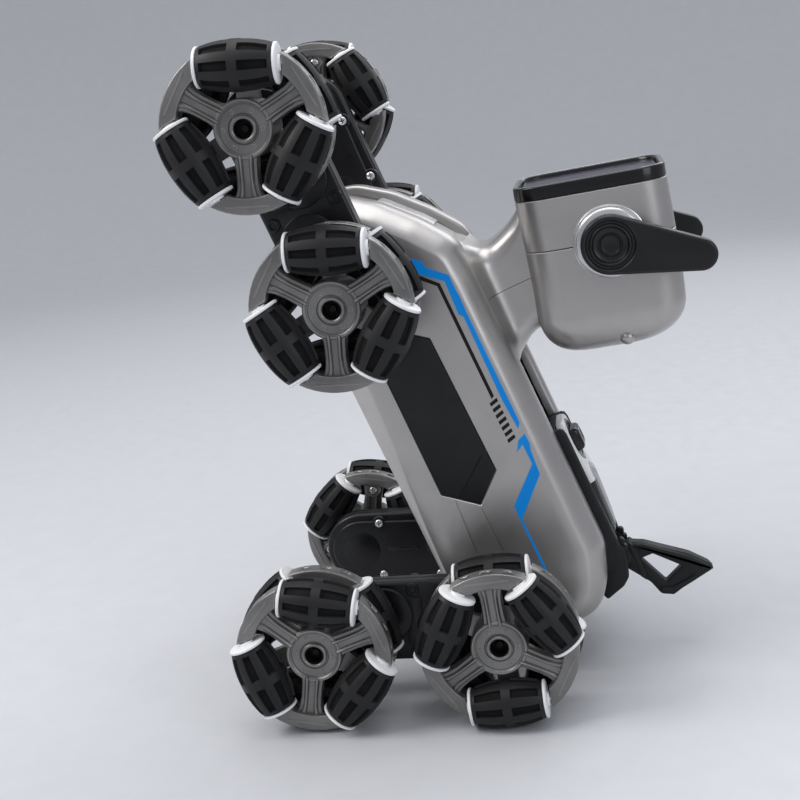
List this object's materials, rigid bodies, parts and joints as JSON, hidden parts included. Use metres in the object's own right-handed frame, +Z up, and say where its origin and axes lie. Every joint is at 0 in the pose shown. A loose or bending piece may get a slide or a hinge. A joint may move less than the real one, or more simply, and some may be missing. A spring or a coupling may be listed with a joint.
{
  "type": "omni wheel stunt robot dog",
  "caption": "Reared-up robot dog with geared legs that end in dual-row omni wheels, a boxy screen-faced head on a short neck, round-hubbed ears and a small tail fin.",
  "frame": {"origin": "centre of the footprint box, on the ground plane under the rear wheels", "axes": "+Z up, +X towards the dog's left side along the wheel axles, +Y towards its back; the chest faces -Y"},
  "size_m": [0.2096, 0.2258, 0.3008],
  "materials": {
    "shell_silver": "warm silver metallic paint on moulded plastic, satin",
    "trim_black": "fine-textured black plastic",
    "leg_black": "satin black moulded housing",
    "gloss_black": "high gloss black",
    "screen_glass": "dark polished display window",
    "hub_grey": "dark warm grey moulded plastic with a slight metallic sheen",
    "roller_rubber": "charcoal moulded rubber barrel with white plastic end caps",
    "shaft_steel": "plain turned steel",
    "inner_plastic": "plain moulded casing"
  },
  "bodies": {
    "torso": {"back_deck": "shell_silver", "battery_pack": "inner_plastic", "drive_unit": "inner_plastic", "face_bezel": "gloss_black", "face_screen": "screen_glass", "head_front_shell": "shell_silver", "head_rear_shell": "shell_silver", "neck": "shell_silver", "side_panel_left": "trim_black", "side_panel_right": "trim_black", "side_shell_left": "shell_silver", "side_shell_right": "shell_silver", "spine_cover": "shell_silver", "spine_frame": "trim_black"},
    "front_legs": {"leg_case_front_left": "leg_black", "leg_case_front_right": "leg_black", "leg_cover_front_left": "leg_black", "leg_cover_front_right": "leg_black", "leg_shaft_front": "shaft_steel"},
    "rear_legs": {"leg_case_rear_left": "leg_black", "leg_case_rear_right": "leg_black", "leg_cover_rear_left": "leg_black", "leg_cover_rear_right": "leg_black", "leg_shaft_rear": "shaft_steel"},
    "front_left_hip_wheel": {"wheel_front_left_hip": "hub_grey"},
    "front_left_outer_wheel": {"wheel_front_left_outer": "hub_grey"},
    "front_right_hip_wheel": {"wheel_front_right_hip": "hub_grey"},
    "front_right_outer_wheel": {"wheel_front_right_outer": "hub_grey"},
    "rear_left_hip_wheel": {"wheel_hub_rear_left_hip": "hub_grey"},
    "roller_rear_left_hip_out_1": {"roller_rear_left_hip_out_1": "roller_rubber"},
    "roller_rear_left_hip_out_2": {"roller_rear_left_hip_out_2": "roller_rubber"},
    "roller_rear_left_hip_out_3": {"roller_rear_left_hip_out_3": "roller_rubber"},
    "roller_rear_left_hip_in_1": {"roller_rear_left_hip_in_1": "roller_rubber"},
    "roller_rear_left_hip_in_2": {"roller_rear_left_hip_in_2": "roller_rubber"},
    "roller_rear_left_hip_in_3": {"roller_rear_left_hip_in_3": "roller_rubber"},
    "rear_left_outer_wheel": {"wheel_hub_rear_left_outer": "hub_grey"},
    "roller_rear_left_outer_out_1": {"roller_rear_left_outer_out_1": "roller_rubber"},
    "roller_rear_left_outer_out_2": {"roller_rear_left_outer_out_2": "roller_rubber"},
    "roller_rear_left_outer_out_3": {"roller_rear_left_outer_out_3": "roller_rubber"},
    "roller_rear_left_outer_in_1": {"roller_rear_left_outer_in_1": "roller_rubber"},
    "roller_rear_left_outer_in_2": {"roller_rear_left_outer_in_2": "roller_rubber"},
    "roller_rear_left_outer_in_3": {"roller_rear_left_outer_in_3": "roller_rubber"},
    "rear_right_hip_wheel": {"wheel_hub_rear_right_hip": "hub_grey"},
    "roller_rear_right_hip_out_1": {"roller_rear_right_hip_out_1": "roller_rubber"},
    "roller_rear_right_hip_out_2": {"roller_rear_right_hip_out_2": "roller_rubber"},
    "roller_rear_right_hip_out_3": {"roller_rear_right_hip_out_3": "roller_rubber"},
    "roller_rear_right_hip_in_1": {"roller_rear_right_hip_in_1": "roller_rubber"},
    "roller_rear_right_hip_in_2": {"roller_rear_right_hip_in_2": "roller_rubber"},
    "roller_rear_right_hip_in_3": {"roller_rear_right_hip_in_3": "roller_rubber"},
    "rear_right_outer_wheel": {"wheel_hub_rear_right_outer": "hub_grey"},
    "roller_rear_right_outer_out_1": {"roller_rear_right_outer_out_1": "roller_rubber"},
    "roller_rear_right_outer_out_2": {"roller_rear_right_outer_out_2": "roller_rubber"},
    "roller_rear_right_outer_out_3": {"roller_rear_right_outer_out_3": "roller_rubber"},
    "roller_rear_right_outer_in_1": {"roller_rear_right_outer_in_1": "roller_rubber"},
    "roller_rear_right_outer_in_2": {"roller_rear_right_outer_in_2": "roller_rubber"},
    "roller_rear_right_outer_in_3": {"roller_rear_right_outer_in_3": "roller_rubber"},
    "ear_left": {"ear_left": "trim_black"},
    "ear_right": {"ear_right": "trim_black"},
    "tail": {"tail": "trim_black"},
    "power_button": {"power_button": "trim_black"}
  },
  "joints": [
    {"name": "front_leg_swing", "type": "hinge", "parent": "torso", "child": "front_legs", "pos_m": [0, -0.0481, 0.18824], "axis": [1, 0, 0], "range_deg": [-20, 110]},
    {"name": "rear_leg_swing", "type": "hinge", "parent": "torso", "child": "rear_legs", "pos_m": [0, 0.009, 0.036], "axis": [1, 0, 0], "range_deg": [-30, 100]},
    {"name": "front_left_hip_wheel_spin", "type": "hinge", "parent": "front_legs", "child": "front_left_hip_wheel", "pos_m": [0.084, -0.0481, 0.18824], "axis": [1, 0, 0], "continuous": true},
    {"name": "front_left_outer_wheel_spin", "type": "hinge", "parent": "front_legs", "child": "front_left_outer_wheel", "pos_m": [0.084, -0.07611, 0.26478], "axis": [1, 0, 0], "continuous": true},
    {"name": "front_right_hip_wheel_spin", "type": "hinge", "parent": "front_legs", "child": "front_right_hip_wheel", "pos_m": [-0.084, -0.0481, 0.18824], "axis": [1, 0, 0], "continuous": true},
    {"name": "front_right_outer_wheel_spin", "type": "hinge", "parent": "front_legs", "child": "front_right_outer_wheel", "pos_m": [-0.084, -0.07611, 0.26478], "axis": [1, 0, 0], "continuous": true},
    {"name": "rear_left_hip_wheel_spin", "type": "hinge", "parent": "rear_legs", "child": "rear_left_hip_wheel", "pos_m": [0.084, 0.009, 0.036], "axis": [1, 0, 0], "continuous": true},
    {"name": "rear_left_outer_wheel_spin", "type": "hinge", "parent": "rear_legs", "child": "rear_left_outer_wheel", "pos_m": [0.084, -0.0725, 0.036], "axis": [1, 0, 0], "continuous": true},
    {"name": "rear_right_hip_wheel_spin", "type": "hinge", "parent": "rear_legs", "child": "rear_right_hip_wheel", "pos_m": [-0.084, 0.009, 0.036], "axis": [1, 0, 0], "continuous": true},
    {"name": "rear_right_outer_wheel_spin", "type": "hinge", "parent": "rear_legs", "child": "rear_right_outer_wheel", "pos_m": [-0.084, -0.0725, 0.036], "axis": [1, 0, 0], "continuous": true},
    {"name": "ear_left_turn", "type": "hinge", "parent": "torso", "child": "ear_left", "pos_m": [0.044, 0.06763, 0.19982], "axis": [1, 0, 0], "range_deg": [-60, 60]},
    {"name": "ear_right_turn", "type": "hinge", "parent": "torso", "child": "ear_right", "pos_m": [-0.044, 0.06763, 0.19982], "axis": [1, 0, 0], "range_deg": [-60, 60]},
    {"name": "tail_wag", "type": "hinge", "parent": "torso", "child": "tail", "pos_m": [0, 0.06319, 0.04244], "axis": [1, 0, 0], "range_deg": [-12, 24]},
    {"name": "power_button_press", "type": "slide", "parent": "torso", "child": "power_button", "axis": [0, -0.9363, -0.3512], "range_m": [0, 0.0018], "stiffness_N_per_m": 250, "springref_m": -0.0005},
    {"name": "roller_rear_left_hip_out_1_spin", "type": "hinge", "parent": "rear_left_hip_wheel", "child": "roller_rear_left_hip_out_1", "pos_m": [0.094, -0.01384, 0.04665], "axis": [0, -0.4226, -0.9063], "continuous": true},
    {"name": "roller_rear_left_hip_out_2_spin", "type": "hinge", "parent": "rear_left_hip_wheel", "child": "roller_rear_left_hip_out_2", "pos_m": [0.094, 0.0112, 0.0109], "axis": [0, 0.9962, 0.0872], "continuous": true},
    {"name": "roller_rear_left_hip_out_3_spin", "type": "hinge", "parent": "rear_left_hip_wheel", "child": "roller_rear_left_hip_out_3", "pos_m": [0.094, 0.02964, 0.05045], "axis": [0, -0.5736, 0.8192], "continuous": true},
    {"name": "roller_rear_left_hip_in_1_spin", "type": "hinge", "parent": "rear_left_hip_wheel", "child": "roller_rear_left_hip_in_1", "pos_m": [0.074, -0.01164, 0.02155], "axis": [0, 0.5736, -0.8192], "continuous": true},
    {"name": "roller_rear_left_hip_in_2_spin", "type": "hinge", "parent": "rear_left_hip_wheel", "child": "roller_rear_left_hip_in_2", "pos_m": [0.074, 0.03184, 0.02535], "axis": [0, 0.4226, 0.9063], "continuous": true},
    {"name": "roller_rear_left_hip_in_3_spin", "type": "hinge", "parent": "rear_left_hip_wheel", "child": "roller_rear_left_hip_in_3", "pos_m": [0.074, 0.0068, 0.0611], "axis": [0, -0.9962, -0.0872], "continuous": true},
    {"name": "roller_rear_left_outer_out_1_spin", "type": "hinge", "parent": "rear_left_outer_wheel", "child": "roller_rear_left_outer_out_1", "pos_m": [0.094, -0.06812, 0.06082], "axis": [0, -0.9848, 0.1736], "continuous": true},
    {"name": "roller_rear_left_outer_out_2_spin", "type": "hinge", "parent": "rear_left_outer_wheel", "child": "roller_rear_left_outer_out_2", "pos_m": [0.094, -0.09618, 0.02738], "axis": [0, 0.342, -0.9397], "continuous": true},
    {"name": "roller_rear_left_outer_out_3_spin", "type": "hinge", "parent": "rear_left_outer_wheel", "child": "roller_rear_left_outer_out_3", "pos_m": [0.094, -0.0532, 0.0198], "axis": [0, 0.6428, 0.766], "continuous": true},
    {"name": "roller_rear_left_outer_in_1_spin", "type": "hinge", "parent": "rear_left_outer_wheel", "child": "roller_rear_left_outer_in_1", "pos_m": [0.074, -0.0918, 0.0522], "axis": [0, -0.6428, -0.766], "continuous": true},
    {"name": "roller_rear_left_outer_in_2_spin", "type": "hinge", "parent": "rear_left_outer_wheel", "child": "roller_rear_left_outer_in_2", "pos_m": [0.074, -0.07688, 0.01118], "axis": [0, 0.9848, -0.1736], "continuous": true},
    {"name": "roller_rear_left_outer_in_3_spin", "type": "hinge", "parent": "rear_left_outer_wheel", "child": "roller_rear_left_outer_in_3", "pos_m": [0.074, -0.04882, 0.04462], "axis": [0, -0.342, 0.9397], "continuous": true},
    {"name": "roller_rear_right_hip_out_1_spin", "type": "hinge", "parent": "rear_right_hip_wheel", "child": "roller_rear_right_hip_out_1", "pos_m": [-0.094, 0.02964, 0.05045], "axis": [0, -0.5736, 0.8192], "continuous": true},
    {"name": "roller_rear_right_hip_out_2_spin", "type": "hinge", "parent": "rear_right_hip_wheel", "child": "roller_rear_right_hip_out_2", "pos_m": [-0.094, 0.0112, 0.0109], "axis": [0, 0.9962, 0.0872], "continuous": true},
    {"name": "roller_rear_right_hip_out_3_spin", "type": "hinge", "parent": "rear_right_hip_wheel", "child": "roller_rear_right_hip_out_3", "pos_m": [-0.094, -0.01384, 0.04665], "axis": [0, -0.4226, -0.9063], "continuous": true},
    {"name": "roller_rear_right_hip_in_1_spin", "type": "hinge", "parent": "rear_right_hip_wheel", "child": "roller_rear_right_hip_in_1", "pos_m": [-0.074, 0.03184, 0.02535], "axis": [0, 0.4226, 0.9063], "continuous": true},
    {"name": "roller_rear_right_hip_in_2_spin", "type": "hinge", "parent": "rear_right_hip_wheel", "child": "roller_rear_right_hip_in_2", "pos_m": [-0.074, -0.01164, 0.02155], "axis": [0, 0.5736, -0.8192], "continuous": true},
    {"name": "roller_rear_right_hip_in_3_spin", "type": "hinge", "parent": "rear_right_hip_wheel", "child": "roller_rear_right_hip_in_3", "pos_m": [-0.074, 0.0068, 0.0611], "axis": [0, -0.9962, -0.0872], "continuous": true},
    {"name": "roller_rear_right_outer_out_1_spin", "type": "hinge", "parent": "rear_right_outer_wheel", "child": "roller_rear_right_outer_out_1", "pos_m": [-0.094, -0.0532, 0.0198], "axis": [0, 0.6428, 0.766], "continuous": true},
    {"name": "roller_rear_right_outer_out_2_spin", "type": "hinge", "parent": "rear_right_outer_wheel", "child": "roller_rear_right_outer_out_2", "pos_m": [-0.094, -0.09618, 0.02738], "axis": [0, 0.342, -0.9397], "continuous": true},
    {"name": "roller_rear_right_outer_out_3_spin", "type": "hinge", "parent": "rear_right_outer_wheel", "child": "roller_rear_right_outer_out_3", "pos_m": [-0.094, -0.06812, 0.06082], "axis": [0, -0.9848, 0.1736], "continuous": true},
    {"name": "roller_rear_right_outer_in_1_spin", "type": "hinge", "parent": "rear_right_outer_wheel", "child": "roller_rear_right_outer_in_1", "pos_m": [-0.074, -0.07688, 0.01118], "axis": [0, 0.9848, -0.1736], "continuous": true},
    {"name": "roller_rear_right_outer_in_2_spin", "type": "hinge", "parent": "rear_right_outer_wheel", "child": "roller_rear_right_outer_in_2", "pos_m": [-0.074, -0.0918, 0.0522], "axis": [0, -0.6428, -0.766], "continuous": true},
    {"name": "roller_rear_right_outer_in_3_spin", "type": "hinge", "parent": "rear_right_outer_wheel", "child": "roller_rear_right_outer_in_3", "pos_m": [-0.074, -0.04882, 0.04462], "axis": [0, -0.342, 0.9397], "continuous": true}
  ],
  "couplings": [
    {"joint": "front_left_outer_wheel_spin", "follows": "front_left_hip_wheel_spin", "ratio": 1},
    {"joint": "front_right_outer_wheel_spin", "follows": "front_right_hip_wheel_spin", "ratio": 1},
    {"joint": "rear_left_outer_wheel_spin", "follows": "rear_left_hip_wheel_spin", "ratio": 1},
    {"joint": "rear_right_outer_wheel_spin", "follows": "rear_right_hip_wheel_spin", "ratio": 1}
  ]
}
